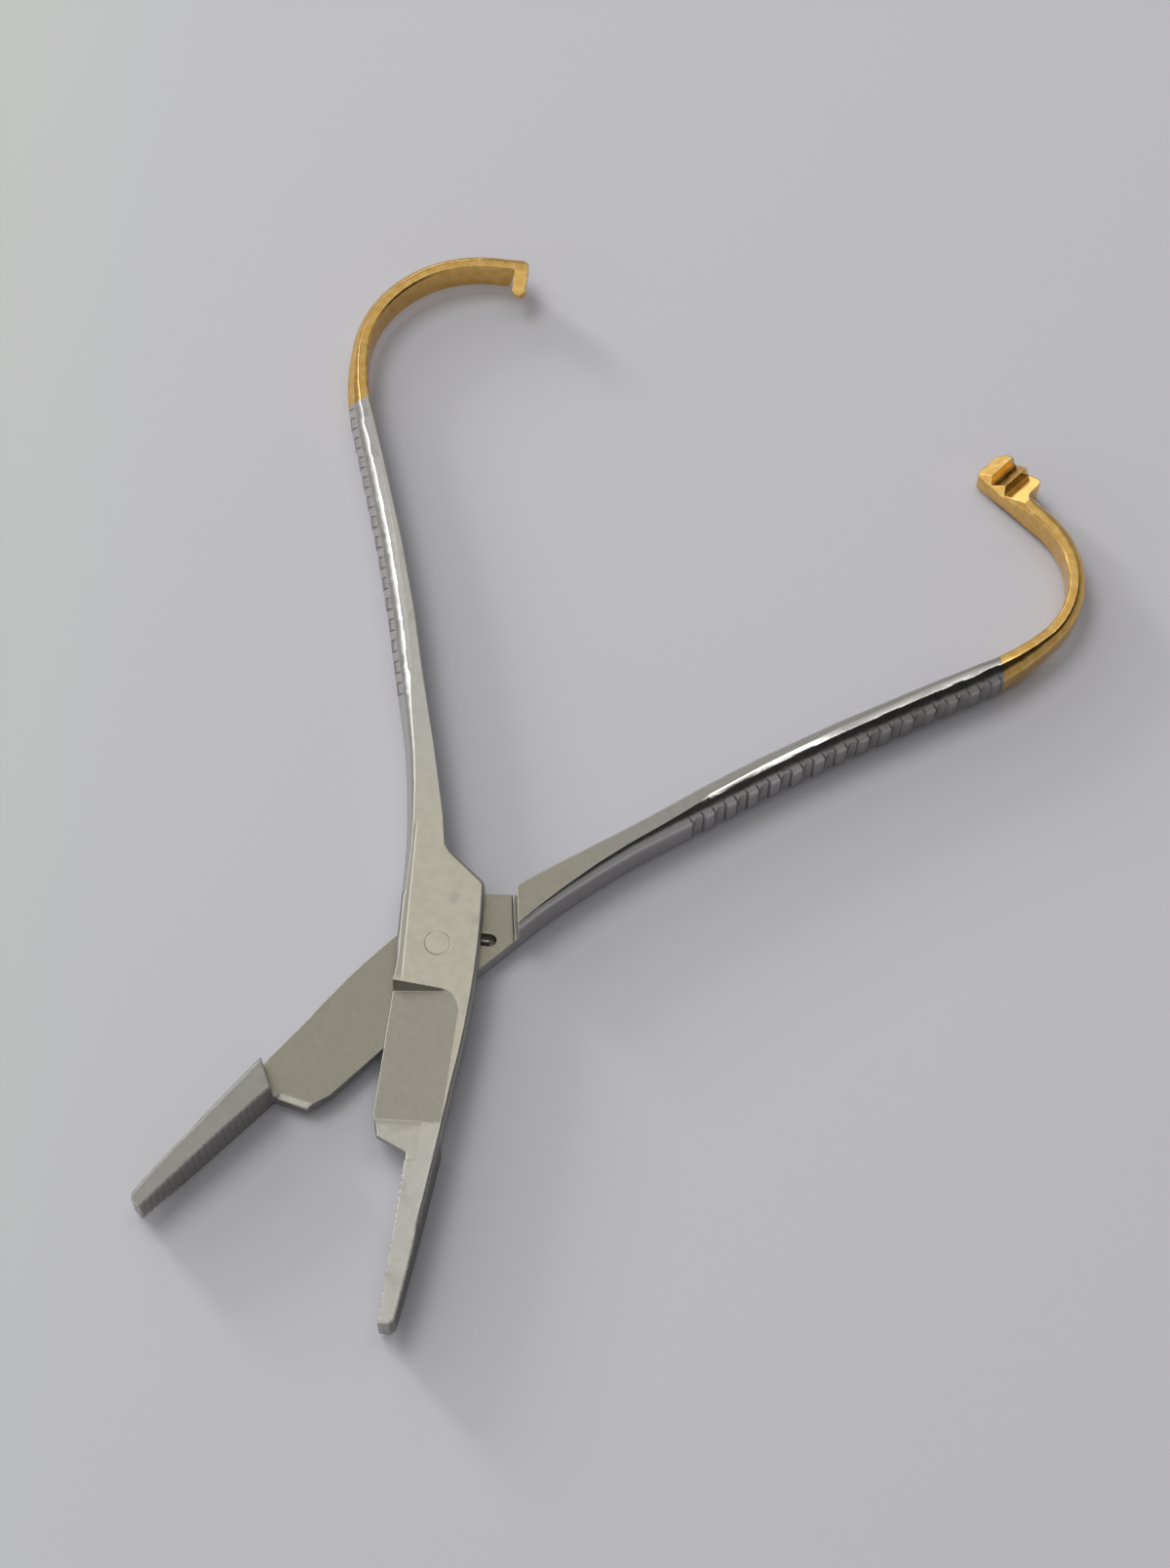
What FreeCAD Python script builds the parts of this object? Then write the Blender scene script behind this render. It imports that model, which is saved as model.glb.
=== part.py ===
import FreeCAD, Part
import math
import os

# A needle holder with hooked spring handles and suture-cutting blades, 14.5 cm
# long when closed. Two forged halves cross at a lap joint. One rivet holds them,
# and a torsion spring hidden in the joint pushes them apart. The part lies open
# on its flat side, with the pivot axis on +Z and the handles towards +Y.
# Each half is drawn closed, with its handle on +X and its lap face up, then
# turned to its place. The upper half is also rolled over about +Y.

Vector = FreeCAD.Vector
origin = Vector(0, 0, 0)
up = Vector(0, 0, 1)

# Joint and blades
joint_thickness = 5.2
lap_gap = 0.04
seat_clearance = 0.2
opening_angle = 38.3
back_reach = 4.88
joint_back_y = 1.0
back_blade_x = -4.3
back_blade_y = -17.0
outer_reach = 4.4
shoulder_x = -4.35
step_inner_x = 0.9
step_inner_y = 11.85
step_outer_x = 5.65
step_slope = -0.905
relief_offset = 0.45
relief_width = 0.22
relief_depth = 0.12
shoulder_round = 1.4
edge_line_x = 4.3
edge_line_y = -20.8
blade_corner_x = 3.5
blade_corner_y = -23.8
jaw_root_x = -0.23
jaw_root_y = -25.6
side_round = 0.5
root_round = 0.5

# Hollow grinding on the outer face of each blade
hollow_start_y = -5.25
hollow_skew = 0.75
hollow_ramp = 0.3
hollow_end_y = -21.9
hollow_back_x = -3.6
hollow_corner = 2.6
edge_thickness = 0.5
land_thickness = 1.5
land_back_x = -1.43
land_bevel = 0.35
end_bevel_run = 0.55
end_bevel_depth = 0.65
edge_x = 4.6

# Jaws
jaw_tip_y = -45.3
jaw_tip_x = -0.06
jaw_root_width = 3.45
jaw_tip_width = 1.8
jaw_tip_height = 3.5
jaw_taper_length = 12.0
tip_chamfer = 0.6
serration_pitch = 0.9
serration_depth = 0.15

# Arms: centre x, y, width, height, flat of the top facet, half of the outer face
arm_stations = [
    (2.65, -4.8, 3.6, 5.3, 2.8, 2.05),
    (2.78, 2.0, 4.2, 5.3, 3.3, 2.0),
    (2.92, 8.0, 4.6, 5.3, 3.6, 1.95),
    (3.2, 12.0, 4.55, 5.3, 3.4, 1.9),
    (3.85, 16.0, 4.3, 5.3, 2.9, 1.8),
    (4.8, 20.5, 3.85, 5.3, 2.2, 1.7),
    (5.85, 25.0, 3.55, 5.3, 1.75, 1.6),
    (7.09, 29.5, 3.42, 5.3, 1.4, 1.5),
    (8.9, 36.0, 3.4, 5.2, 1.15, 1.4),
    (10.9, 43.5, 3.4, 5.16, 0.95, 1.35),
    (13.95, 53.5, 3.3, 5.12, 0.65, 1.3),
    (18.08, 65.5, 3.15, 5.06, 0.42, 1.25),
    (20.25, 71.5, 3.05, 5.0, 0.36, 1.2),
]
inner_edge = 0.14
lower_arm_trim = [0.0, 0.0, 0.0, 0.25, 0.45, 0.5, 0.5, 0.35, 0.0, 0.0, 0.0, 0.0, 0.0]
groove_count = 14
groove_pitch = 3.05
groove_first_y = 33.6
groove_radius = 1.05
groove_depth = 0.4

# Hooks: a lead-in arc, a bend and a straight bar
arm_end_heading = 20.0
lead_steps = 4
lower_hook = {"lead": 32.0, "bend": 12.2, "turn": 88.0, "bar_end_x": 0.9, "bar_width": 2.15}
upper_hook = {"lead": 35.0, "bend": 15.2, "turn": 90.0, "bar_end_x": 2.5, "bar_width": 2.2}

# Inner corner between plate and arm: its place, its radius and where its side meets the back
lower_crotch = {"x": 1.0, "y": 11.5, "round": 0.6, "shoulder_y": 6.4}
upper_crotch = {"x": 0.1, "y": 12.0, "round": 2.0, "shoulder_y": 8.4}
bar_height = 3.9
bar_round = 1.15
bar_edge = 0.28

# Ratchet: a three-step rack on the lower hook and one pawl tooth on the upper
rack_tip_x = -0.4
rack_end_x = 6.6
rack_width = 4.65
rack_ridge = 1.5
rack_valley = 0.45
rack_tip_level = 0.5
first_tooth_x = 1.5
tooth_pitch = 2.2
tooth_face_run = 0.55
rack_bar_x = 7.3
rack_neck = 1.4
rack_corner = 0.9
rack_bevel_run = 0.7
rack_bevel_level = 0.3
rack_bevel_end_x = 9.0
pawl_end_x = 4.2
pawl_reach = 5.6
pawl_clip = 0.5
pawl_shoulder = 1.1
pawl_land = 0.3
pawl_fall = 0.8
pawl_ridge = -0.25
pawl_root = -1.0
pawl_bar_x = 5.3

# Rivet
rivet_diameter = 2.4
rivet_head_diameter = 3.0
rivet_head_height = 0.8
rivet_clearance = 0.03

# Return spring
wire_diameter = 0.7
wire_flats = 8
coil_radius = 2.3
coil_height = 1.44
climbing_half_turns = 3
pocket_radius = 3.4
slot_width = 1.6
leg_end_radius = 6.1
slot_angle = 29.85
spring_clearance = 0.06

# How far a cutting shape reaches past the metal
over = 1.0

half = joint_thickness / 2
lap = -lap_gap / 2
half_bar = bar_height / 2
deep = joint_thickness


def prism(points, bottom, top):
    corners = [Vector(x, y, bottom) for x, y in points]
    wire = Part.makePolygon(corners + corners[:1])
    return Part.Face(wire).extrude(up * (top - bottom))


def side_prism(points, start, end):
    # A profile in x and z, drawn out along +Y.
    corners = [Vector(x, start, z) for x, z in points]
    wire = Part.makePolygon(corners + corners[:1])
    return Part.Face(wire).extrude(Vector(0, end - start, 0))


def quarter(start, corner, end):
    # A quarter circle where both sides are equal, and else a quarter of an ellipse.
    if abs((corner - start).Length - (end - corner).Length) < 1e-6:
        centre = start + end - corner
        middle = centre + (corner - centre) * math.sqrt(0.5)
        return Part.Arc(start, middle, end).toShape()
    pull = 0.5523
    bend = Part.BezierCurve()
    bend.setPoles([start, start + (corner - start) * pull, end + (corner - end) * pull, end])
    return bend.toShape()


def arm_section(station):
    # A flat inner face, a flat top facet beside it and a rolled outer side.
    x, y, heading, width, height, flat, face, edge = station
    angle = math.radians(heading)
    outward = Vector(math.cos(angle), -math.sin(angle), 0)
    centre = Vector(x, y, 0)
    top = height / 2
    inner = -width / 2
    outer = width / 2
    facet_end = inner + edge + flat

    def at(across, level):
        return centre + outward * across + up * level

    def straight(a, b):
        return Part.LineSegment(a, b).toShape()

    edges = [
        straight(at(inner, edge - top), at(inner, top - edge)),
        straight(at(inner, top - edge), at(inner + edge, top)),
        straight(at(inner + edge, top), at(facet_end, top)),
        quarter(at(facet_end, top), at(outer, top), at(outer, face)),
        straight(at(outer, face), at(outer, -face)),
        quarter(at(outer, -face), at(outer, -top), at(facet_end, -top)),
        straight(at(facet_end, -top), at(inner + edge, -top)),
        straight(at(inner + edge, -top), at(inner, edge - top)),
    ]
    return Part.Wire(edges)


def arm_line():
    line = Part.BSplineCurve()
    line.interpolate([Vector(s[0], s[1], 0) for s in arm_stations])
    return line


def heading_at(line, x, y):
    tangent = line.tangent(line.parameter(Vector(x, y, 0)))[0]
    return math.degrees(math.atan2(tangent.x, tangent.y))


def mix(a, b, share):
    return [p + (q - p) * share for p, q in zip(a, b)]


def make_arm(hook, trims):
    # The arm thins along its lead-in arc to the bar's section, which bends and runs straight.
    line = arm_line()
    stations = []
    for (x, y, width, height, flat, face), trim in zip(arm_stations, trims):
        form = (width - trim, height, flat - trim, face, inner_edge)
        stations.append((x + trim / 2, y, heading_at(line, x, y), *form))
    arm_form = (*arm_stations[-1][2:], inner_edge)
    bar_flat = hook["bar_width"] - bar_edge - bar_round
    bar_form = (hook["bar_width"], bar_height, bar_flat, half_bar - bar_round, bar_edge)
    for k in range(1, lead_steps + 1):
        share = k / lead_steps
        heading = arm_end_heading * (1 - share)
        lead_x, lead_y = lead_point(hook, heading)
        stations.append((lead_x, lead_y, heading, *mix(arm_form, bar_form, share)))
    arm = Part.makeLoft([arm_section(s) for s in stations], True, True)
    reach = stations[-1][1] + joint_thickness
    slab = Part.makeBox(2 * reach, 2 * reach, joint_thickness, Vector(-reach, -reach, -half))
    arm = arm.common(slab)
    section = Part.Face(arm_section(stations[-1]))
    pivot = bend_centre(hook)
    bend = section.revolve(pivot, up, hook["turn"])
    section.rotate(pivot, up, hook["turn"])
    turn = math.radians(hook["turn"])
    bar = section.extrude(Vector(-math.sin(turn), math.cos(turn), 0) * bar_length(hook))
    return arm.fuse([bend, bar])


def lead_point(hook, heading):
    x, y = arm_stations[-1][:2]
    first = math.radians(arm_end_heading)
    angle = math.radians(heading)
    across = hook["lead"] * (math.cos(angle) - math.cos(first))
    along = hook["lead"] * (math.sin(first) - math.sin(angle))
    return x + across, y + along


def bend_centre(hook):
    x, y = lead_point(hook, 0.0)
    return Vector(x - hook["bend"], y, 0)


def bar_start(hook):
    turn = math.radians(hook["turn"])
    centre = bend_centre(hook)
    return centre + Vector(math.cos(turn), math.sin(turn), 0) * hook["bend"]


def bar_length(hook):
    return (bar_start(hook).x - hook["bar_end_x"]) / math.sin(math.radians(hook["turn"]))


def bar_line_y(hook):
    return bar_start(hook).y + bar_length(hook) * math.cos(math.radians(hook["turn"]))


def make_grooves():
    # Cross grooves for grip, milled into the outer face at one pitch.
    line = arm_line()
    start = line.parameter(Vector(arm_x(groove_first_y), groove_first_y, 0))
    cutters = []
    for k in range(groove_count):
        along = line.parameterAtDistance(k * groove_pitch, start)
        point = line.value(along)
        tangent = line.tangent(along)[0]
        outward = Vector(tangent.y, -tangent.x, 0)
        reach = arm_width(point.y) / 2 + groove_radius - groove_depth
        centre = point + outward * reach
        cutters.append(Part.makeCylinder(groove_radius, deep, centre - up * half))
    return cutters


def between(y, column):
    for a, b in zip(arm_stations, arm_stations[1:]):
        if a[1] <= y <= b[1]:
            return a[column] + (b[column] - a[column]) * (y - a[1]) / (b[1] - a[1])
    return arm_stations[-1][column]


def arm_x(y):
    return between(y, 0)


def arm_width(y):
    return between(y, 2)


def make_plate(crotch):
    # Joint, blade and jaw in one plan outline at full thickness.
    tip_x = jaw_tip_x - jaw_tip_width
    shoulder = Vector(shoulder_x, crotch["shoulder_y"], -half)
    joint_back = Vector(-back_reach, joint_back_y, -half)
    blade_back = Vector(back_blade_x, back_blade_y, -half)
    jaw_back = Vector(jaw_root_x - jaw_root_width, jaw_root_y, -half)
    tip_back = Vector(tip_x, jaw_tip_y + tip_chamfer, -half)
    edges = [
        Part.Arc(shoulder, joint_back, blade_back).toShape(),
        Part.Arc(blade_back, jaw_back, tip_back).toShape(),
    ]
    within_arm = arm_stations[4]
    corners = [
        tip_back,
        Vector(tip_x + tip_chamfer, jaw_tip_y, -half),
        Vector(jaw_tip_x, jaw_tip_y, -half),
        Vector(jaw_root_x, jaw_root_y, -half),
        Vector(blade_corner_x, blade_corner_y, -half),
        Vector(edge_line_x, edge_line_y, -half),
        Vector(outer_reach, hollow_start_y, -half),
        Vector(arm_stations[1][0] + over, arm_stations[1][1], -half),
        Vector(within_arm[0] + over, within_arm[1], -half),
        Vector(within_arm[0] - over, within_arm[1], -half),
        Vector(crotch["x"], crotch["y"], -half),
        shoulder,
    ]
    for a, b in zip(corners, corners[1:]):
        edges.append(Part.LineSegment(a, b).toShape())
    plate = Part.Face(Part.Wire(edges)).extrude(up * joint_thickness)
    plate = plate.makeFillet(root_round, [upright_at(plate, jaw_root_x, jaw_root_y)])
    plate = plate.makeFillet(crotch["round"], [upright_at(plate, crotch["x"], crotch["y"])])
    plate = plate.makeFillet(shoulder_round, [upright_at(plate, shoulder.x, shoulder.y)])
    return round_back(plate, shoulder.y)


def upright_at(shape, x, y):
    # The vertical edge that stands at a plan point.
    for edge in shape.Edges:
        ends = [v.Point for v in edge.Vertexes]
        if len(ends) == 2 and all(math.hypot(p.x - x, p.y - y) < 0.02 for p in ends):
            return edge
    raise ValueError("no upright edge at %.2f, %.2f" % (x, y))


def round_back(plate, end_y):
    # The long back edge is rolled over on both faces.
    rolled = []
    for edge in plate.Edges:
        middle = edge.valueAt((edge.FirstParameter + edge.LastParameter) / 2)
        on_face = abs(abs(middle.z) - half) < 0.001
        if on_face and middle.x < -jaw_tip_width and middle.y < end_y:
            rolled.append(edge)
    return plate.makeFillet(side_round, rolled)


def step_y(x):
    # The step beside the arm, a slanted line across the plan.
    return step_inner_y + step_slope * (x - step_inner_x)


def lap_cutter():
    # The lap recess runs from the step beside the arm to the step at the jaw.
    wide = 2 * outer_reach + over
    slope = (jaw_root_y - blade_corner_y) / (blade_corner_x - jaw_root_x)
    jaw_y = blade_corner_y - seat_clearance / math.cos(math.atan(slope))

    def jaw_line(x):
        return jaw_y + slope * (x + blade_corner_x)

    plan = [(wide, step_y(wide)), (-wide, step_y(-wide)), (-wide, jaw_line(-wide)), (wide, jaw_line(wide))]
    return prism(plan, lap, deep)


def blade_cutters():
    # The hollow grind thins the blade to its edge. The land beyond it stays thicker.
    back = hollow_back_x
    far = 2 * edge_x
    below = -half - over
    edge_level = lap - edge_thickness
    slope = (edge_level + half) / (edge_x - back)
    wedge = [(back, -half), (far, -half + slope * (far - back)), (far, below), (back, below)]
    hollow = side_prism(wedge, hollow_end_y, hollow_start_y + over)
    corner_y = hollow_start_y - hollow_corner
    dip = math.sqrt(0.5) * hollow_corner
    outline = [
        Vector(back, hollow_end_y - over, below),
        Vector(back, corner_y, below),
        Vector(back + hollow_corner, hollow_start_y, below),
        Vector(far, hollow_start_y + hollow_skew, below),
        Vector(far, hollow_end_y - over, below),
    ]
    middle = Vector(back + hollow_corner - dip, corner_y + dip, below)
    edges = [Part.Arc(outline[1], middle, outline[2]).toShape()]
    for a, b in ((0, 1), (2, 3), (3, 4), (4, 0)):
        edges.append(Part.LineSegment(outline[a], outline[b]).toShape())
    sides = Part.Face(Part.Wire(Part.sortEdges(edges)[0]))
    ramp = Vector(0, -hollow_ramp * (lap - below), lap - below)
    hollow = hollow.common(sides.extrude(ramp))
    land_level = lap - land_thickness
    slope = (land_level + half) / (edge_x - land_back_x)
    far_level = -half + slope * (far - land_back_x)
    wedge = [(land_back_x, -half), (far, far_level), (far, below), (land_back_x, below)]
    land = side_prism(wedge, jaw_root_y - over, hollow_end_y)
    return [hollow, land, blade_end_bevel(), land_edge_bevel(), relief_groove()]


def along_line(start, end, past, profile):
    # A profile of distance to the left and level, drawn out past both ends of a plan line.
    run = (end - start).normalize()
    left = Vector(-run.y, run.x, 0)
    foot = start - run * past
    corners = [foot + left * across + up * level for across, level in profile]
    wire = Part.makePolygon(corners + corners[:1])
    return Part.Face(wire).extrude(run * ((end - start).Length + 2 * past))


def blade_end_bevel():
    # The lap-side edge of the blade's end is bevelled.
    corner = Vector(blade_corner_x, blade_corner_y, 0)
    root = Vector(jaw_root_x, jaw_root_y, 0)
    slope = end_bevel_depth / end_bevel_run
    profile = [
        (end_bevel_run + over, lap + slope * over),
        (-over, lap - end_bevel_depth - slope * over),
        (-over, lap + slope * over),
    ]
    bevel = along_line(root, corner, over, profile)
    low = Vector(jaw_root_x + root_round, jaw_root_y - over, -half)
    return bevel.common(Part.makeBox(2 * outer_reach, outer_reach, deep, low))


def land_edge_bevel():
    # The outer edge of the land is broken where the blade's side turns to its end.
    corner = Vector(blade_corner_x, blade_corner_y, 0)
    start = Vector(edge_line_x, edge_line_y, 0)
    level = lap - land_thickness
    profile = [(-land_bevel, level - land_bevel), (over, level + over), (over, level - land_bevel)]
    bevel = along_line(start, corner, 0.0, profile)
    low = Vector(jaw_root_x, blade_corner_y, -half)
    return bevel.common(Part.makeBox(outer_reach + over, hollow_end_y - blade_corner_y, deep, low))


def relief_groove():
    # A fine tool groove runs beside the step by the arm.
    start_x = -shoulder_round - step_outer_x
    start = Vector(start_x, step_y(start_x), 0)
    end = Vector(step_outer_x, step_y(step_outer_x), 0)
    far = -relief_offset - relief_width
    middle = -relief_offset - relief_width / 2
    profile = [(far, lap), (middle, lap - relief_depth), (-relief_offset, lap)]
    return along_line(start, end, over, profile)


def jaw_taper_cutters():
    # Both flat faces of the jaw fall towards the tip.
    fall = (joint_thickness - jaw_tip_height) / 2
    start_y = jaw_tip_y + jaw_taper_length
    wide = jaw_root_width + over
    cutters = []
    for side in (1, -1):
        points = [
            Vector(-wide, start_y, side * half),
            Vector(-wide, jaw_tip_y - over, side * (half - fall)),
            Vector(-wide, jaw_tip_y - over, side * (half + over)),
            Vector(-wide, start_y, side * (half + over)),
        ]
        wire = Part.makePolygon(points + points[:1])
        cutters.append(Part.Face(wire).extrude(Vector(2 * wide, 0, 0)))
    return cutters


def serration_cutters():
    # Fine cross cuts on the gripping face.
    length = jaw_root_y - jaw_tip_y
    slope = (jaw_root_x - jaw_tip_x) / length
    cutters = []
    y = jaw_tip_y + serration_pitch
    while y < jaw_root_y - 2 * serration_pitch:
        face_x = jaw_tip_x + slope * (y - jaw_tip_y)
        reach = serration_depth
        notch = [(face_x + reach, y - 2 * reach), (face_x - reach, y), (face_x + reach, y + 2 * reach)]
        cutters.append(prism(notch, -half - over, half + over))
        y += serration_pitch
    return cutters


def slot_line():
    # The spring leg leaves the coil at a tangent and ends in the slot's round end.
    angle = math.radians(90 - slot_angle)
    end = Vector(leg_end_radius * math.cos(angle), leg_end_radius * math.sin(angle), 0)
    turn = math.acos(coil_radius / leg_end_radius)
    touch = Vector(coil_radius * math.cos(angle + turn), coil_radius * math.sin(angle + turn), 0)
    return touch, end


def spring_pocket():
    depth = coil_height / 2 + wire_diameter / 2 + spring_clearance
    pocket = Part.makeCylinder(pocket_radius, depth, up * -depth)
    touch, end = slot_line()
    along = (end - touch).normalize()
    across = Vector(-along.y, along.x, 0) * (slot_width / 2)
    corners = [touch + across, end + across, end - across, touch - across]
    slot = prism([(p.x, p.y) for p in corners], -depth, 0)
    slot_end = Part.makeCylinder(slot_width / 2, depth, end - up * depth)
    return pocket.fuse([slot, slot_end])


def rivet_shape(growth):
    # A plain shank that flares to a flush head at each face.
    shank = rivet_diameter / 2 + growth
    head = rivet_head_diameter / 2 + growth
    profile = [
        Vector(0, 0, -half),
        Vector(head, 0, -half),
        Vector(shank, 0, -half + rivet_head_height),
        Vector(shank, 0, half - rivet_head_height),
        Vector(head, 0, half),
        Vector(0, 0, half),
    ]
    wire = Part.makePolygon(profile + profile[:1])
    return Part.Face(wire).revolve(origin, up, 360)


def rack(bar_y):
    # The lower hook ends in a block with sawtooth steps across its top and a knob outside.
    inner_y = bar_y - lower_hook["bar_width"] / 2
    outer_y = inner_y + rack_width
    bar_flat_y = inner_y + lower_hook["bar_width"] - bar_round
    neck_x = rack_end_x + rack_neck
    dip = math.sqrt(0.5)

    def at(x, y):
        return Vector(x, y, -half_bar)

    corners = [
        at(neck_x, bar_flat_y),
        at(neck_x, inner_y),
        at(rack_tip_x + rack_corner / 2, inner_y),
        at(rack_tip_x, inner_y + rack_corner / 2),
        at(rack_tip_x, outer_y - rack_corner),
        at(rack_tip_x + rack_corner, outer_y),
        at(rack_end_x - rack_corner, outer_y),
    ]
    edges = [Part.LineSegment(a, b).toShape() for a, b in zip(corners, corners[1:])]
    knob = at(rack_end_x - rack_corner * (1 - dip), outer_y - rack_corner * (1 - dip))
    knob_end = at(rack_end_x, outer_y - rack_corner)
    edges.append(Part.Arc(corners[-1], knob, knob_end).toShape())
    neck_top = at(rack_end_x, bar_flat_y + rack_neck)
    edges.append(Part.LineSegment(knob_end, neck_top).toShape())
    neck = at(neck_x - rack_neck * dip, bar_flat_y + rack_neck * (1 - dip))
    edges.append(Part.Arc(neck_top, neck, corners[0]).toShape())
    block = Part.Face(Part.Wire(edges)).extrude(up * bar_height)
    second_x = first_tooth_x + tooth_pitch
    above = [
        (rack_tip_x - over, rack_tip_level),
        (rack_tip_x, rack_tip_level),
        (first_tooth_x, rack_ridge),
        (first_tooth_x + tooth_face_run, rack_valley),
        (second_x, rack_ridge),
        (second_x + tooth_face_run, rack_valley),
        (rack_bar_x, half_bar),
        (rack_bar_x, half + over),
        (rack_tip_x - over, half + over),
    ]
    teeth = side_prism(above, inner_y - over, outer_y + over)
    return block, [teeth] + rack_bevels(inner_y)


def rack_bevels(inner_y):
    # The inner ends of the teeth are bevelled. The last bevel runs out along the bar.
    slope = (rack_ridge - rack_bevel_level) / rack_bevel_run
    clear_level = rack_bevel_level - slope * over
    top_run = (half + over - rack_bevel_level) / slope

    def corner_at(x, shift):
        points = [
            Vector(x, inner_y - over, clear_level + shift),
            Vector(x, inner_y + top_run, half + over + shift),
            Vector(x, inner_y - over, half + over + shift),
        ]
        return Part.makePolygon(points + points[:1])

    start_x = rack_tip_x - over
    ramp_x = first_tooth_x + tooth_pitch + tooth_face_run
    even = Part.Face(corner_at(start_x, 0)).extrude(Vector(ramp_x - start_x, 0, 0))
    rise = half_bar - rack_bevel_level
    run_out = Part.makeLoft([corner_at(ramp_x, 0), corner_at(rack_bevel_end_x, rise)], True, True)
    return [even, run_out]


def pawl(bar_y):
    # The upper hook ends in one finger that carries the catching tooth.
    outer_y = bar_y + upper_hook["bar_width"] / 2
    tip_x = upper_hook["bar_end_x"]
    inner_y = outer_y - pawl_reach
    finger = prism(
        [
            (tip_x, inner_y + pawl_clip),
            (tip_x + pawl_clip, inner_y),
            (pawl_end_x - pawl_clip, inner_y),
            (pawl_end_x, inner_y + pawl_clip),
            (pawl_end_x, outer_y - bar_round),
            (tip_x, outer_y - bar_round),
        ],
        -half_bar,
        pawl_ridge,
    )
    above = [
        (tip_x - over, pawl_ridge),
        (tip_x + pawl_land, pawl_ridge),
        (pawl_end_x, pawl_root),
        (pawl_bar_x, half),
        (pawl_bar_x, half + over),
        (tip_x - over, half + over),
    ]
    tooth = side_prism(above, inner_y - over, outer_y + over)
    fall_y = outer_y - upper_hook["bar_width"]
    slope = pawl_fall / (fall_y - inner_y)
    fall = [
        Vector(tip_x - over, fall_y, -half_bar),
        Vector(tip_x - over, inner_y - over, -half_bar + pawl_fall + slope * over),
        Vector(tip_x - over, inner_y - over, -half_bar - over),
        Vector(tip_x - over, fall_y, -half_bar - over),
    ]
    lean = Part.Face(Part.makePolygon(fall + fall[:1]))
    lean = lean.extrude(Vector(pawl_end_x - tip_x + 2 * over, 0, 0))
    reach = pawl_shoulder + over
    plan = [(tip_x - over, outer_y - reach), (tip_x + reach, outer_y + over), (tip_x - over, outer_y + over)]
    return finger, [tooth, lean, prism(plan, -half, half)]


def make_half(hook, trims, crotch, make_head):
    arm = make_arm(hook, trims)
    body = make_plate(crotch).fuse(arm).removeSplitter()
    bar_y = bar_line_y(hook)
    head, head_cutters = make_head(bar_y)
    body = body.fuse(head)
    cutters = [lap_cutter(), spring_pocket()] + head_cutters
    cutters += blade_cutters() + jaw_taper_cutters()
    cutters += serration_cutters() + make_grooves()
    body = body.cut(cutters)
    return body


def place(shape, rolled):
    # Roll the upper half over, open both halves equally and stand them on z = 0.
    shape = shape.copy()
    angle = -opening_angle / 2
    if rolled:
        shape.rotate(origin, Vector(0, 1, 0), 180)
        angle = opening_angle / 2
    shape.rotate(origin, up, angle)
    shape.translate(up * half)
    return shape


def make_lower_half():
    body = make_half(lower_hook, lower_arm_trim, lower_crotch, rack).cut(rivet_shape(0.0))
    return place(body, False)


def make_upper_half():
    untrimmed = [0.0] * len(arm_stations)
    body = make_half(upper_hook, untrimmed, upper_crotch, pawl).cut(rivet_shape(rivet_clearance))
    return place(body, True)


def make_rivet():
    rivet = rivet_shape(0.0)
    rivet.translate(up * half)
    return rivet


def coil_point(angle, level):
    return Vector(math.cos(angle), math.sin(angle), 0) * coil_radius + up * level


def wire_arc(angle, start, centre, turn):
    # One arc of the wire, from a point where it runs level.
    tangent = Vector(-math.sin(angle), math.cos(angle), 0)
    section = wire_section(start, tangent)
    return section.revolve(centre, (start - centre).cross(tangent), math.degrees(turn))


def wire_section(point, tangent):
    # The wire is drawn with flats, so that the coils and legs bed on a flat.
    side = tangent.cross(up)
    corners = []
    for k in range(wire_flats):
        angle = (k + 0.5) * 2 * math.pi / wire_flats
        reach = wire_diameter / 2 / math.cos(math.pi / wire_flats)
        corners.append(point + side * (reach * math.cos(angle)) + up * (reach * math.sin(angle)))
    return Part.Face(Part.makePolygon(corners + corners[:1]))


def make_spring():
    # Nearly two turns of wire: level at both ends, and tilted half turns that climb between.
    touch, end = slot_line()
    leg_length = (end - touch).Length
    angle = math.atan2(touch.y, touch.x) - math.radians(opening_angle / 2)
    whole = 5 * math.pi - 2 * angle
    level_turn = (whole - climbing_half_turns * math.pi) / 2
    level = half - coil_height / 2
    rise = coil_height / climbing_half_turns
    tangent = Vector(-math.sin(angle), math.cos(angle), 0)
    pieces = [wire_section(coil_point(angle, level), tangent).extrude(tangent * -leg_length)]
    pieces.append(wire_arc(angle, coil_point(angle, level), up * level, level_turn))
    angle += level_turn
    for k in range(climbing_half_turns):
        start = coil_point(angle, level)
        finish = coil_point(angle + math.pi, level + rise)
        pieces.append(wire_arc(angle, start, (start + finish) * 0.5, math.pi))
        angle += math.pi
        level += rise
    pieces.append(wire_arc(angle, coil_point(angle, level), up * level, level_turn))
    angle += level_turn
    tangent = Vector(-math.sin(angle), math.cos(angle), 0)
    pieces.append(wire_section(coil_point(angle, level), tangent).extrude(tangent * leg_length))
    return pieces[0].fuse(pieces[1:])


def save(shape, name):
    solids = shape.Solids
    print(name, "solids", len(solids), "valid", shape.isValid(), "volume %.1f" % shape.Volume)
    solids[0].exportStep("parts/" + name + ".step")


os.makedirs("parts", exist_ok=True)
save(make_lower_half(), "lower_half")
save(make_upper_half(), "upper_half")
save(make_rivet(), "pivot_rivet")
save(make_spring(), "return_spring")
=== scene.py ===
import math

import bpy
from mathutils import Matrix, Vector


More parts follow.
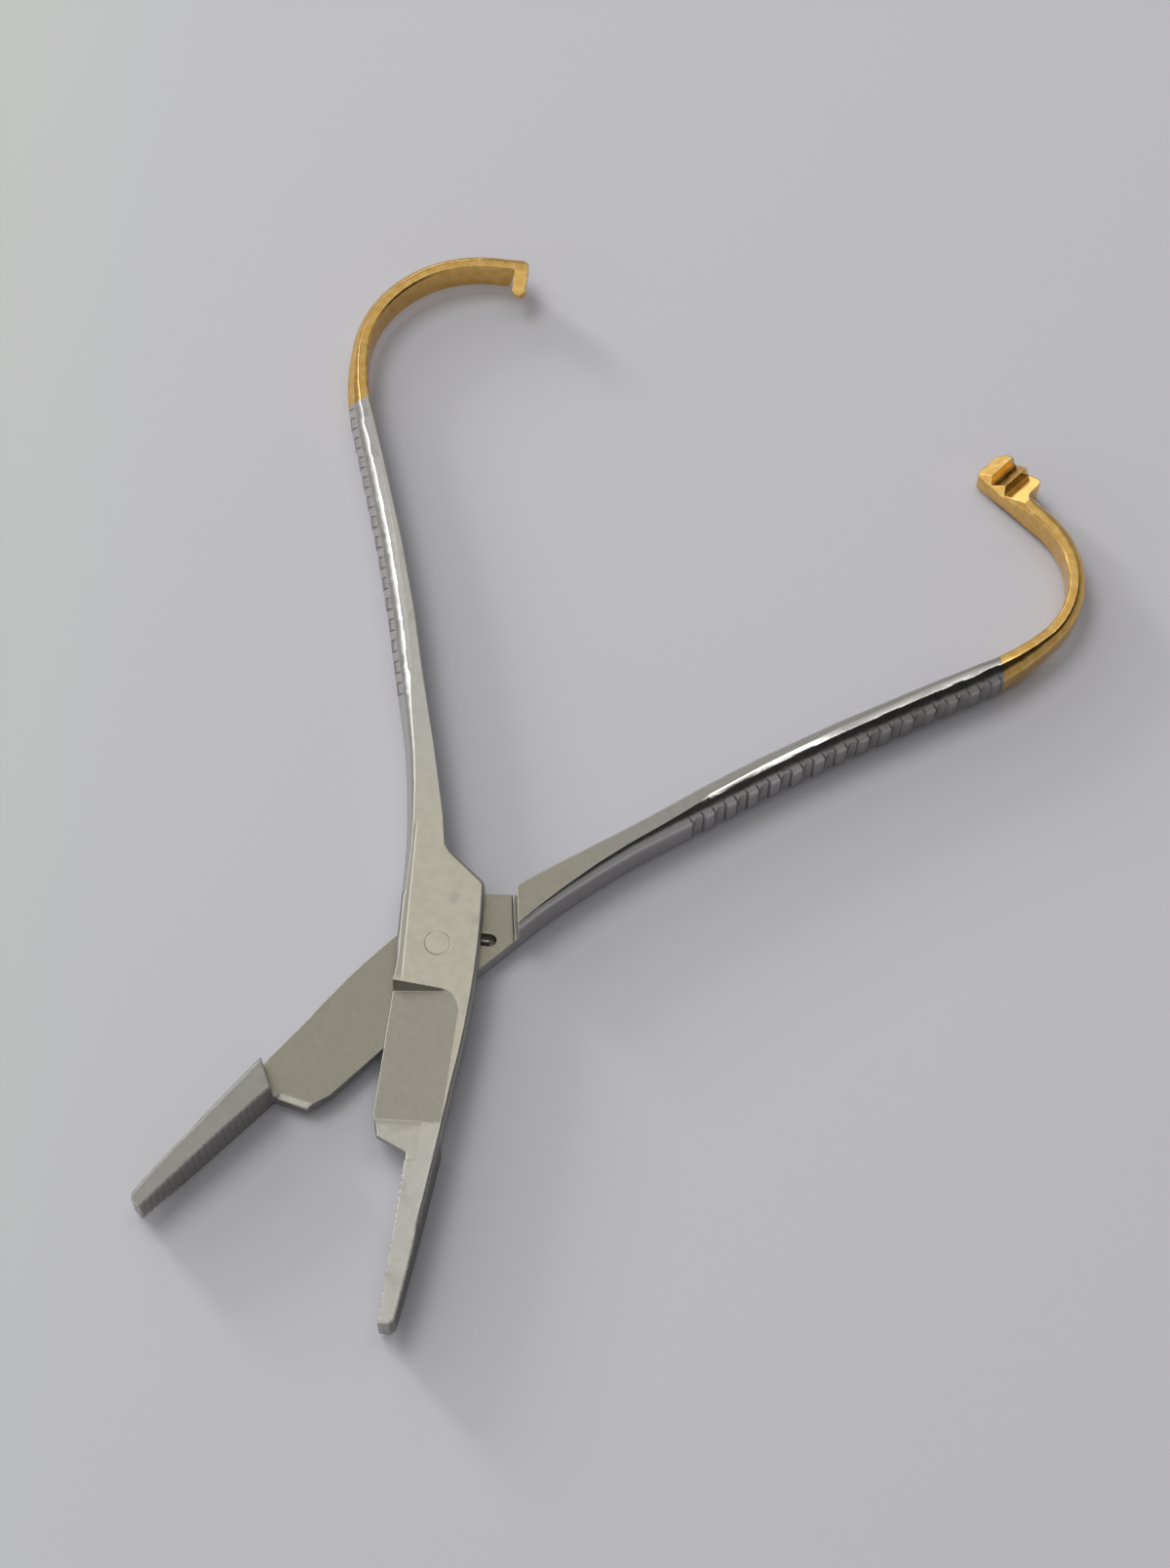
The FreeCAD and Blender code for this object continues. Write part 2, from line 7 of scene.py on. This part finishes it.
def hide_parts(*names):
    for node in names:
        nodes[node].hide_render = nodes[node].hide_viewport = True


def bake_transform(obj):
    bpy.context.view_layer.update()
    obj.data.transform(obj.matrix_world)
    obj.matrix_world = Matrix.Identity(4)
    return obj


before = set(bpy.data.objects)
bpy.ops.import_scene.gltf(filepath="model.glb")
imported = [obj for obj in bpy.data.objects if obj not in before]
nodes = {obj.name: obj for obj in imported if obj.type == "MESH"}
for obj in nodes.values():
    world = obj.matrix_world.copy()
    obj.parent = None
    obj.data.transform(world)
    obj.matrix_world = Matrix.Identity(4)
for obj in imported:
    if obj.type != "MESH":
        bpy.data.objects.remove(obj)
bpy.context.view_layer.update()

upward = (0.0, 0.0, 1.0)


def scaled(colour, share):
    return (colour[0] * share, colour[1] * share, colour[2] * share, 1.0)


class Wire:                              # one output socket, usable in sums and products
    def __init__(self, tree, socket=None):
        self.tree = tree
        self.socket = socket

    def node(self, kind, settings=None, inputs=None, output=0):
        made = self.tree.nodes.new(kind)
        for name, value in (settings or {}).items():
            setattr(made, name, value)
        for name, value in (inputs or {}).items():
            if isinstance(value, Wire):
                self.tree.links.new(value.socket, made.inputs[name])
            else:
                made.inputs[name].default_value = value
        return Wire(self.tree, made.outputs[output])

    def calc(self, operation, *values):
        inputs = {0: self, **{k + 1: value for k, value in enumerate(values)}}
        return self.node("ShaderNodeMath", {"operation": operation}, inputs)

    def __add__(self, other):
        return self.calc("ADD", other)

    __radd__ = __add__

    def __mul__(self, other):
        return self.calc("MULTIPLY", other)

    __rmul__ = __mul__

    def __sub__(self, other):
        return self.calc("SUBTRACT", other)

    def __rsub__(self, other):
        return (self * -1.0) + other

    def __abs__(self):
        return self.calc("ABSOLUTE")

    def step(self, low, high):           # 0 at low and 1 at high, smooth between
        inputs = {0: self, 1: low, 2: high, 3: 0.0, 4: 1.0}
        settings = {"interpolation_type": "SMOOTHSTEP", "clamp": True}
        return self.node("ShaderNodeMapRange", settings, inputs)

    def band(self, low, high, soft):     # 1 between low and high, 0 outside
        return self.step(low - soft, low + soft) * (1 - self.step(high - soft, high + soft))

    def swing(self, amount):             # a noise between 0 and 1, moved to lie about 0
        return (self - 0.5) * amount

    def blend(self, first, second):      # a colour, by this mask
        inputs = {0: self, 6: first, 7: second}
        return self.node("ShaderNodeMix", {"data_type": "RGBA"}, inputs, 2)

    def tones(self, colour, low, high):  # one colour, at the low share where this is 0
        return self.blend(scaled(colour, low), scaled(colour, high))

    def vectorCalc(self, operation, inputs=None, output=0):
        inputs = {0: self, **(inputs or {})}
        return self.node("ShaderNodeVectorMath", {"operation": operation}, inputs, output)

    def dot(self, direction):            # this vector along a direction
        return self.vectorCalc("DOT_PRODUCT", {1: direction}, 1)

    def noise(self, scale, detail=2.0):  # this vector read as a noise between 0 and 1
        inputs = {"Vector": self, "Scale": scale, "Detail": detail}
        return self.node("ShaderNodeTexNoise", inputs=inputs)

    def vector(self, x, y, z):
        return self.node("ShaderNodeCombineXYZ", inputs={0: x, 1: y, 2: z})

    def direction(self):                 # the way a ray leaves for the room
        return self.node("ShaderNodeTexCoord", output=0)

    def facing(self):                    # the surface's direction on its own piece
        return self.node("ShaderNodeTexCoord", output=1)

    def place(self):                     # the point's place on its own piece
        return self.node("ShaderNodeTexCoord", output=3)

    def bump(self, strength, distance, height, **base):
        inputs = {"Strength": strength, "Distance": distance, "Height": height, **base}
        return self.node("ShaderNodeBump", inputs=inputs)


def newMaterial(name, settings):
    material = bpy.data.materials.new(name)
    material.use_nodes = True
    shader = material.node_tree.nodes["Principled BSDF"]
    for socket, value in settings.items():
        shader.inputs[socket].default_value = value
    return material, Wire(material.node_tree), shader


def feed(shader, socket, wire):
    wire.tree.links.new(wire.socket, shader.inputs[socket])


def assign(mesh, material):
    mesh.materials.clear()
    mesh.materials.append(material)


# The camera stands south-east of the part and looks down at it
camera = {
    "place": (0.0773, -0.1204, 0.3112),
    "right": (0.8972, 0.4415, 0.0026),
    "up": (-0.3909, 0.7915, 0.4699),
    "focal": 67.16,
    "sensor": 36.0,
    "nearest": 0.01,
}


def makeCamera():
    data = bpy.data.cameras.new("camera")
    data.sensor_fit = "VERTICAL"
    data.sensor_height = camera["sensor"]
    data.lens = camera["focal"]
    data.clip_start = camera["nearest"]
    right = Vector(camera["right"]).normalized()
    back = right.cross(Vector(camera["up"])).normalized()
    up = back.cross(right)
    turn = Matrix((right, up, back)).transposed().to_4x4()
    holder = bpy.data.objects.new("camera", data)
    holder.matrix_world = Matrix.Translation(camera["place"]) @ turn
    bpy.context.scene.collection.objects.link(holder)
    bpy.context.scene.camera = holder
    print("camera made")


# A pale table top that turns a little green at the far left
table = {
    "size": 1.6,
    "cool": (0.475, 0.468, 0.497, 1.0),
    "green": (0.485, 0.500, 0.475, 1.0),
    "greenEdge": (0.01, 0.09),
    "greenSide": (-0.90, -0.44, 0.0),
    "roughness": 0.55,
    "grainScale": 900.0,
    "grainDepth": 0.00004,
    "grainStrength": 0.25,
}


def makeFloor():
    mesh = bpy.data.meshes.new("tableTop")
    reach = table["size"] / 2
    corners = [(-reach, -reach, 0), (reach, -reach, 0), (reach, reach, 0), (-reach, reach, 0)]
    mesh.from_pydata(corners, [], [(0, 1, 2, 3)])
    floor = bpy.data.objects.new("tableTop", mesh)
    bpy.context.scene.collection.objects.link(floor)
    material, wires, shader = newMaterial("tableFinish", {"Roughness": table["roughness"]})
    place = wires.place()
    green = place.dot(table["greenSide"]).step(*table["greenEdge"])
    feed(shader, "Base Color", green.blend(table["cool"], table["green"]))
    grain = place.noise(table["grainScale"])
    feed(shader, "Normal", wires.bump(table["grainStrength"], table["grainDepth"], grain))
    assign(mesh, material)
    print("floor made")


# The room: a bright ceiling, a low window at the left, a lamp overhead, a pale card
# at the front left and an unlit wall at the right. Each light's edge says how near
# to its side a direction has to be, from where it starts to where it is full.
room = {
    "wall": 0.34,
    "ceiling": 0.44,
    "ceilingEdge": (0.60, 0.90),
    "windowSide": (-0.93, 0.37, 0.0),
    "windowEdge": (0.72, 0.86),
    "windowHeight": (0.26, 0.56, 0.04),
    "windowLevel": 2.4,
    "cardSide": (-0.64, -0.77, 0.0),
    "cardEdge": (0.80, 0.92),
    "cardHeight": (0.0, 0.36, 0.05),
    "cardLevel": 1.3,
    "lampSide": (0.20, 0.34, 0.92),
    "lampEdge": (0.988, 0.995),
    "lampLevel": 2.0,
    "unlitSide": (0.66, 0.16, 0.72),
    "unlitEdge": (0.82, 0.93),
    "unlitShare": 0.92,
    "colour": (1.0, 1.0, 1.0, 1.0),
}


def makeRoom():
    world = bpy.data.worlds.new("room")
    bpy.context.scene.world = world
    world.use_nodes = True
    wires = Wire(world.node_tree)
    direction = wires.direction()
    height = direction.dot(upward)
    window = direction.dot(room["windowSide"]).step(*room["windowEdge"])
    window = window * height.band(*room["windowHeight"])
    card = direction.dot(room["cardSide"]).step(*room["cardEdge"])
    card = card * height.band(*room["cardHeight"])
    lamp = direction.dot(Vector(room["lampSide"]).normalized()).step(*room["lampEdge"])
    unlit = direction.dot(Vector(room["unlitSide"]).normalized()).step(*room["unlitEdge"])
    level = height.step(*room["ceilingEdge"]) * room["ceiling"] + room["wall"]
    level = level * (1 - unlit * room["unlitShare"])
    level = level + window * room["windowLevel"] + card * room["cardLevel"]
    back = world.node_tree.nodes["Background"]
    feed(back, "Strength", level + lamp * room["lampLevel"])
    back.inputs["Color"].default_value = room["colour"]
    print("room made")


# Two soft lamps at the left: one high, one low that draws the long pale shadows
lamps = {
    "highLamp": {"place": (-0.60, 0.22, 1.05), "size": 0.60, "power": 5.6},
    "lowLamp": {"place": (-1.90, 0.76, 0.48), "size": 0.34, "power": 27.0},
}


def makeLamps():
    for name, values in lamps.items():
        data = bpy.data.lights.new(name, "AREA")
        data.size = values["size"]
        data.energy = values["power"]
        light = bpy.data.objects.new(name, data)
        place = Vector(values["place"])
        aim = (-place).to_track_quat("-Z", "Y")
        light.matrix_world = Matrix.Translation(place) @ aim.to_matrix().to_4x4()
        light.visible_glossy = False
        bpy.context.scene.collection.objects.link(light)
        print(name, "made")


# Both halves are one forging each: satin faces, a ground hollow, polished rounded
# sides, a brushed lap face and a gold-plated hook. Along runs from the rivet to the
# hook and across runs outwards. Lean is the share of a surface that faces outwards,
# level the share that faces up or down.
forging = {
    "halfAngle": 19.15,
    "satinWarm": (0.63, 0.595, 0.475, 1.0),
    "satinCool": (0.62, 0.60, 0.55, 1.0),
    "side": (0.36, 0.35, 0.325, 1.0),
    "polished": (0.56, 0.545, 0.53, 1.0),
    "hollow": (0.47, 0.445, 0.375, 1.0),
    "lap": (0.37, 0.352, 0.275, 1.0),
    "grip": (0.30, 0.29, 0.27, 1.0),
    "lapEnd": (0.95, 0.93, 0.78, 1.0),
    "edge": (0.90, 0.88, 0.82, 1.0),
    "shadeAndGrime": (0.12, 0.11, 0.09, 1.0),
    "gold": (0.86, 0.56, 0.19, 1.0),
    "goldDeep": (0.74, 0.44, 0.12, 1.0),
    # Where each finish, painted highlight and painted shade lies: the two ends of a soft edge,
    # or a band's two ends and how soft they are
    "zones": {
        "flatLevel": (0.96, 0.99),
        "rollSoft": 0.0005,
        "roundedLean": (0.015, 0.08),
        "brinkSlope": 0.062,             # the joint's outer edge, as a line over the length
        "brinkStart": 0.00474,
        "jointLength": (-0.0048, 0.015, 0.0006),
        "stripWidth": (0.00092, 0.00100),
        "rimWidth": (0.00094, 0.00112, 0.00004),
        "lineLean": (0.025, 0.17, 0.02),
        "lineFrom": 0.017,
        "lineSoft": 0.006,
        "creaseStart": (0.13, 0.18),
        "creaseEnd": (0.45, 0.80),
        "notchFrom": 0.0331,             # the run of the grooves along the curved arm
        "notchStretch": 1.035,
        "notchBow": 0.375,
        "notchPitch": 0.00305,
        "notchEdge": (0.00066, 0.00092, 0.00006),
        "notchLean": (0.35, 0.60),
        "notchLength": (0.0320, 0.0735, 0.0005),
        "grooveLean": (0.30, 0.60),
        "grooveLength": (0.030, 0.032),
        "farDarkLength": (0.044, 0.060),
        "jawLength": (-0.0240, -0.0225),
        "lapEndFacing": (-0.92, -0.45, 0.05),
        "lapEndLevel": (0.30, 0.90, 0.05),
        "lapEndLength": (-0.0262, -0.018, 0.0005),
        "hollowLean": (0.08, 0.55, 0.02),
        "hollowLength": (-0.0225, -0.0044, 0.0002),
        "lapHeight": (0.0023, 0.0029, 0.0001),
        "gripLean": (0.80, 0.95),
        "gripLength": (-0.0245, -0.0235),
        "goldLine": 0.0742,              # where the plating starts, and how its edge slants
        "goldAcross": 0.0212,
        "goldSlant": 0.7,
        "goldWander": 0.0003,
        "goldEdge": (-0.00008, 0.00008),
        "warmLength": (0.012, 0.030),
    },
    # Fine detail: noise scales, their soft edges, and the small ridges of the jaws
    "detail": {
        "goldScale": 3500.0,
        "cloudScale": 900.0,
        "cloudEdge": (0.30, 0.70),
        "stainScale": 260.0,
        "stainEdge": (0.58, 0.72),
        "grainScale": 6500.0,
        "longScale": 700.0,              # drawn lines run along, ground lines across
        "acrossScale": 900.0,
        "fineScale": 9000.0,
        "scratchLong": 420.0,
        "scratchFine": 5200.0,
        "scratchEdge": (0.68, 0.74),
        "ridgePitch": 0.0001,
        "bevel": 0.00018,
        "jawBevel": 0.00035,
        "bevelEdge": (0.008, 0.06),
        "cornerReach": 0.0016,
        "cornerEdge": (0.30, 0.80),
    },
    # How far each effect darkens, brightens, polishes or tilts the surface
    "shares": {
        "cloud": 0.92,
        "stain": 0.35,
        "stainTone": 0.9,
        "shadedStrip": 0.72,
        "hollow": 0.92,
        "lapLow": 0.82,
        "lapHigh": 1.12,
        "grip": 0.5,
        "lapEnd": 0.6,
        "shadeAndGrime": 0.8,
        "shadeAndGrimeOnGold": 0.5,
        "wearAndHighlight": 0.7,
        "wearAndHighlightOnJaw": 0.7,
        "line": 0.8,
        "rim": 0.8,
        "creaseTilt": 0.42,
        "lineTilt": 0.17,
        "stripTilt": 0.16,
    },
    "roughness": {
        "base": 0.38,
        "grain": 0.10,
        "cloud": 0.04,
        "rounded": 0.19,
        "hollow": 0.06,
        "side": 0.08,
        "corner": 0.15,
        "edge": 0.10,
        "gold": 0.25,
    },
    "relief": {
        "strength": 0.4,
        "depth": 0.000012,
        "rounded": 0.7,
        "drawn": 0.3,
        "scratch": 0.5,
        "ridge": 6.0,
    },
    # The upper half has a strip along the joint's outer edge, painted darker as the shade of a
    # rounded edge.
    # The lower half has darker faces, partly a ground finish and partly painted shade, darker
    # again towards the hook, and a painted highlight line that fades sooner.
    "halves": {
        "upper_half": {"side": -1.0, "faceTone": 1.0, "rollFrom": 0.006, "hasStrip": 1.0,
                       "lineTo": 0.062, "farDarkening": 0.0},
        "lower_half": {"side": 1.0, "faceTone": 0.62, "rollFrom": -0.0045, "hasStrip": 0.0,
                       "lineTo": 0.049, "farDarkening": 0.55},
    },
}


# Dark lines painted along the rims of the arm's grooves: painted shade
def notchOutline(along, lean):
    zones = forging["zones"]
    pitch = zones["notchPitch"]
    run = along - zones["notchFrom"]
    run = run * zones["notchStretch"] + run * run * zones["notchBow"]
    outline = (run * (1 / pitch)).calc("PINGPONG", 0.5) * pitch
    outline = outline.band(*zones["notchEdge"]) * lean.step(*zones["notchLean"])
    return outline * along.band(*zones["notchLength"])


def dressHalf(name, side, faceTone, rollFrom, hasStrip, lineTo, farDarkening):
    zones, detail, shares = forging["zones"], forging["detail"], forging["shares"]
    roughness, relief = forging["roughness"], forging["relief"]
    material, wires, shader = newMaterial(name + "Finish", {"Metallic": 1.0})
    turn = math.radians(forging["halfAngle"])
    alongAxis = (side * math.sin(turn), math.cos(turn), 0.0)
    acrossAxis = (side * math.cos(turn), -math.sin(turn), 0.0)
    place = wires.place()
    facing = wires.facing()
    along = place.dot(alongAxis)
    across = place.dot(acrossAxis)
    height = place.dot(upward)
    lean = facing.dot(acrossAxis)
    level = abs(facing.dot(upward))

    flat = level.step(*zones["flatLevel"])
    arm = along.step(rollFrom - zones["rollSoft"], rollFrom + zones["rollSoft"])
    rounded = lean.step(*zones["roundedLean"]) * arm
    brink = along * zones["brinkSlope"] + zones["brinkStart"] - across
    joint = flat * along.band(*zones["jointLength"]) * hasStrip
    # A darker strip along the joint's outer edge: painted shade of a rounded edge, with a
    # tilted normal
    shadedStrip = joint * (1 - brink.step(*zones["stripWidth"]))
    # A bright rim along the strip's inner border: a painted highlight
    rim = joint * brink.band(*zones["rimWidth"])
    # A bright line along each arm's crease: a painted highlight, which also tilts the normal
    line = along.band(zones["lineFrom"], lineTo, zones["lineSoft"])
    line = lean.band(*zones["lineLean"]) * line
    crease = lean.step(*zones["creaseStart"]) * arm * (1 - lean.step(*zones["creaseEnd"]))
    jaw = 1 - along.step(*zones["jawLength"])
    grooves = lean.step(*zones["grooveLean"]) * along.step(*zones["grooveLength"])
    lapEnd = facing.dot(alongAxis).band(*zones["lapEndFacing"])
    lapEnd = lapEnd * level.band(*zones["lapEndLevel"]) * along.band(*zones["lapEndLength"])
    hollow = lean.band(*zones["hollowLean"]) * along.band(*zones["hollowLength"])
    lap = height.band(*zones["lapHeight"]) * flat
    grip = (lean * -1).step(*zones["gripLean"]) * (1 - along.step(*zones["gripLength"]))
    wander = place.noise(detail["goldScale"]).swing(zones["goldWander"])
    slant = (across - zones["goldAcross"]) * zones["goldSlant"]
    plated = (along - zones["goldLine"] + slant + wander).step(*zones["goldEdge"])
    warm = 1 - abs(along).step(*zones["warmLength"])

    cloud = place.noise(detail["cloudScale"], 4.0).step(*detail["cloudEdge"])
    stain = place.noise(detail["stainScale"], 3.0).step(*detail["stainEdge"])
    grain = place.noise(detail["grainScale"])
    long, thick, fine = detail["longScale"], detail["acrossScale"], detail["fineScale"]
    drawn = wires.vector(along * long, across * fine, height * fine).noise(1.0, 3.0)
    ground = wires.vector(along * fine, across * thick, height * thick).noise(1.0, 3.0)
    scratch = wires.vector(along * detail["scratchLong"], across * detail["scratchFine"], 0.0)
    scratch = scratch.noise(1.0).step(*detail["scratchEdge"])
    pitch = detail["ridgePitch"]
    ridge = (along + height).calc("PINGPONG", pitch) * (1 / pitch)
    ridge = ridge * (along - height).calc("PINGPONG", pitch) * (1 / pitch)

    # Edges brightened, partly as handling wear and partly as a painted highlight, and corners
    # darkened with painted shade
    radius = jaw * detail["jawBevel"] + detail["bevel"]
    bevel = wires.node("ShaderNodeBevel", {"samples": 6}, {"Radius": radius})
    straight = wires.node("ShaderNodeNewGeometry", output=1)
    edge = (1 - bevel.dot(straight)).step(*detail["bevelEdge"])
    openness = wires.node("ShaderNodeAmbientOcclusion", {"samples": 8, "only_local": True},
                          {"Distance": detail["cornerReach"]}, 1)
    corner = 1 - openness.step(*detail["cornerEdge"])

    low = faceTone * shares["cloud"]
    steel = warm.blend(cloud.tones(forging["satinCool"], low, faceTone),
                       cloud.tones(forging["satinWarm"], low, faceTone))
    steel = flat.blend(forging["side"], steel)
    steel = (stain * shares["stain"]).blend(steel, scaled(forging["side"], shares["stainTone"]))
    steel = rounded.blend(steel, forging["polished"])
    steel = shadedStrip.blend(steel, scaled(forging["satinWarm"], shares["shadedStrip"]))
    steel = (along.step(*zones["farDarkLength"]) * farDarkening).blend(steel, forging["grip"])
    steel = hollow.blend(steel, drawn.tones(forging["hollow"], shares["hollow"], 1.0))
    lapTone = ground.tones(forging["lap"], shares["lapLow"], shares["lapHigh"])
    steel = lap.blend(steel, lapTone)
    steel = grip.blend(steel, ridge.tones(forging["grip"], shares["grip"], 1.0))
    metal = plated.blend(steel, cloud.blend(forging["goldDeep"], forging["gold"]))
    # Corners, crevices and groove rims darkened: painted shade, partly grime
    shadeAndGrime = (corner + notchOutline(along, lean)) * shares["shadeAndGrime"]
    shadeAndGrime = shadeAndGrime * (1 - plated * shares["shadeAndGrimeOnGold"])
    metal = shadeAndGrime.blend(metal, forging["shadeAndGrime"])
    # The lap end's chamfer painted pale and bright: a painted highlight on a brushed face
    metal = lapEnd.blend(metal, ground.tones(forging["lapEnd"], shares["lapEnd"], 1.0))
    # Edge brightening is partly wear and partly painted highlight; the crease line and rim add
    # painted highlights
    wearAndHighlight = edge * (1 - corner) * (1 - grooves) * (1 - jaw * shares["wearAndHighlightOnJaw"])
    wearAndHighlight = wearAndHighlight * shares["wearAndHighlight"] + line * shares["line"] + rim * shares["rim"]
    wearAndHighlight = wearAndHighlight * (1 - plated)
    feed(shader, "Base Color", wearAndHighlight.blend(metal, forging["edge"]))

    rough = grain.swing(roughness["grain"]) + cloud.swing(roughness["cloud"])
    rough = rough + roughness["base"] - rounded * roughness["rounded"]
    rough = rough - hollow * roughness["hollow"]
    rough = rough - (1 - flat) * (1 - rounded) * roughness["side"]
    rough = rough + corner * roughness["corner"] - edge * roughness["edge"]
    feed(shader, "Roughness", rough * (1 - plated * roughness["gold"]))

    bumps = grain * (1 - rounded * relief["rounded"])
    bumps = bumps + drawn.swing(relief["drawn"]) * hollow + ground.swing(1.0) * lap
    bumps = bumps - scratch * flat * relief["scratch"] + ridge * grip * relief["ridge"]
    toWorld = {"vector_type": "VECTOR", "convert_from": "OBJECT", "convert_to": "WORLD"}
    outward = wires.node("ShaderNodeVectorTransform", toWorld, {0: acrossAxis})
    tilt = crease * shares["creaseTilt"] + line * shares["lineTilt"]
    tilt = outward.vectorCalc("SCALE", {"Scale": tilt + shadedStrip * shares["stripTilt"]})
    folded = bevel.vectorCalc("ADD", {1: tilt}).vectorCalc("NORMALIZE")
    bumped = wires.bump(relief["strength"], relief["depth"], bumps, Normal=folded)
    feed(shader, "Normal", bumped)
    assign(nodes[name].data, material)
    print(name, "dressed")


# The rivet's head lies flush and takes the finish of the faces round it.
# Its rim shows as a painted shadow line, left out on the lit side.
rivet = {
    "rimEdge": (0.00126, 0.00138),
    "litSide": (-0.83, 0.56, 0.0),
    "litEdge": (0.0006, 0.0012),
    "cloudScale": 420.0,
    "cloudEdge": (0.30, 0.70),
    "cloudTone": (0.94, 1.03),
    "rimShadeTone": 0.6,
    "rimShadeShare": 0.5,
    "grainScale": 6500.0,
    "grainShare": 0.5,
    "roughness": 0.38,
    "roughnessSwing": 0.10,
    "bumpStrength": 0.4,
    "bumpDepth": 0.00002,
}


def dressRivet():
    material, wires, shader = newMaterial("rivetFinish", {"Metallic": 1.0})
    place = wires.place()
    cloud = place.noise(rivet["cloudScale"], 3.0).step(*rivet["cloudEdge"])
    grain = place.noise(rivet["grainScale"])
    around = wires.vector(place.dot((1.0, 0.0, 0.0)), place.dot((0.0, 1.0, 0.0)), 0.0)
    rim = around.vectorCalc("LENGTH", output=1).step(*rivet["rimEdge"])
    # The rim's painted shadow is left out on the lit side
    rim = rim * (1 - place.dot(rivet["litSide"]).step(*rivet["litEdge"]))
    satin = forging["satinWarm"]
    face = cloud.tones(satin, *rivet["cloudTone"])
    rimShadeTone = scaled(satin, rivet["rimShadeTone"])
    feed(shader, "Base Color", (rim * rivet["rimShadeShare"]).blend(face, rimShadeTone))
    feed(shader, "Roughness", grain.swing(rivet["roughnessSwing"]) + rivet["roughness"])
    bumps = grain * rivet["grainShare"] - rim
    feed(shader, "Normal", wires.bump(rivet["bumpStrength"], rivet["bumpDepth"], bumps))
    assign(nodes["pivot_rivet"].data, material)
    print("rivet dressed")


# Drawn spring wire, darker than the forgings. Its lowest turn goes with the lower
# half and its highest turn with the upper half.
spring = {
    "light": (0.40, 0.39, 0.37, 1.0),
    "dark": (0.22, 0.21, 0.20, 1.0),
    "grainScale": 5200.0,
    "grainEdge": (0.30, 0.70),
    "roughness": 0.30,
    "roughnessSwing": 0.2,
    "bumpStrength": 0.3,
    "bumpDepth": 0.00001,
    "wire": 0.0007,
}


def dressSpring():
    material, wires, shader = newMaterial("springFinish", {"Metallic": 1.0})
    grain = wires.place().noise(spring["grainScale"], 3.0)
    tone = grain.step(*spring["grainEdge"]).blend(spring["dark"], spring["light"])
    feed(shader, "Base Color", tone)
    feed(shader, "Roughness", grain.swing(spring["roughnessSwing"]) + spring["roughness"])
    feed(shader, "Normal", wires.bump(spring["bumpStrength"], spring["bumpDepth"], grain))
    mesh = nodes["return_spring"].data.copy()
    assign(mesh, material)
    wire = bpy.data.objects.new("springWire", mesh)
    bpy.context.scene.collection.objects.link(wire)
    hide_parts("return_spring")
    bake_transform(wire)
    print("spring dressed")


makeCamera()
makeFloor()
makeRoom()
makeLamps()
for halfName, halfValues in forging["halves"].items():
    dressHalf(halfName, **halfValues)
dressRivet()
dressSpring()
bpy.context.scene.view_settings.view_transform = "Standard"
